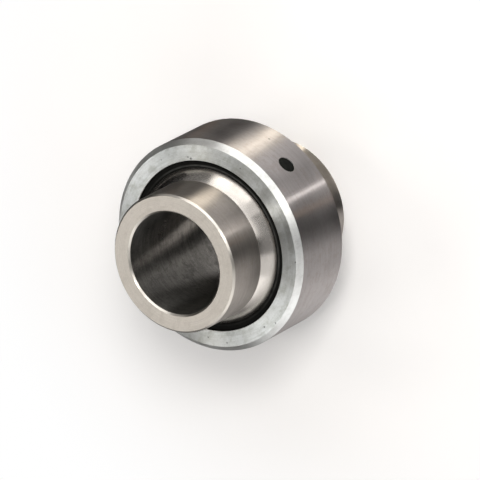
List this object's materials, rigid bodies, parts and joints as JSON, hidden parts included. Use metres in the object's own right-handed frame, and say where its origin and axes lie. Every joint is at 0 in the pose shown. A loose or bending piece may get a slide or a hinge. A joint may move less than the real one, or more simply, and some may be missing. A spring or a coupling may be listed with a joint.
{
  "type": "spherical plain bearing",
  "caption": "Spherical plain bearing: a ball with long journals and a through bore swivels in a lined outer ring whose filling port is plugged.",
  "frame": {"origin": "centre of the ball, which is the middle of the bore and of the whole bearing", "axes": "+Z along the bore, up from the journal end that the bearing stands on; -Y towards the filling port in the outer ring"},
  "size_m": [0.0398, 0.0396, 0.0362],
  "materials": {
    "inner_ring_steel": "satin",
    "outer_ring_steel": "satin",
    "liner_composite": "matte"
  },
  "bodies": {
    "inner_ring": {"inner_ring": "inner_ring_steel"},
    "race_liner": {"race_liner": "liner_composite"},
    "outer_ring": {"outer_ring": "outer_ring_steel", "port_plug": "liner_composite"}
  },
  "joints": [
    {"name": "tilt", "type": "hinge", "parent": "inner_ring", "child": "race_liner", "pos_m": [0, 0, 0], "axis": [0, 1, 0], "range_deg": [-11, 11]},
    {"name": "turn", "type": "hinge", "parent": "race_liner", "child": "outer_ring", "pos_m": [0, 0, 0], "axis": [0, 0, 1], "continuous": true}
  ]
}
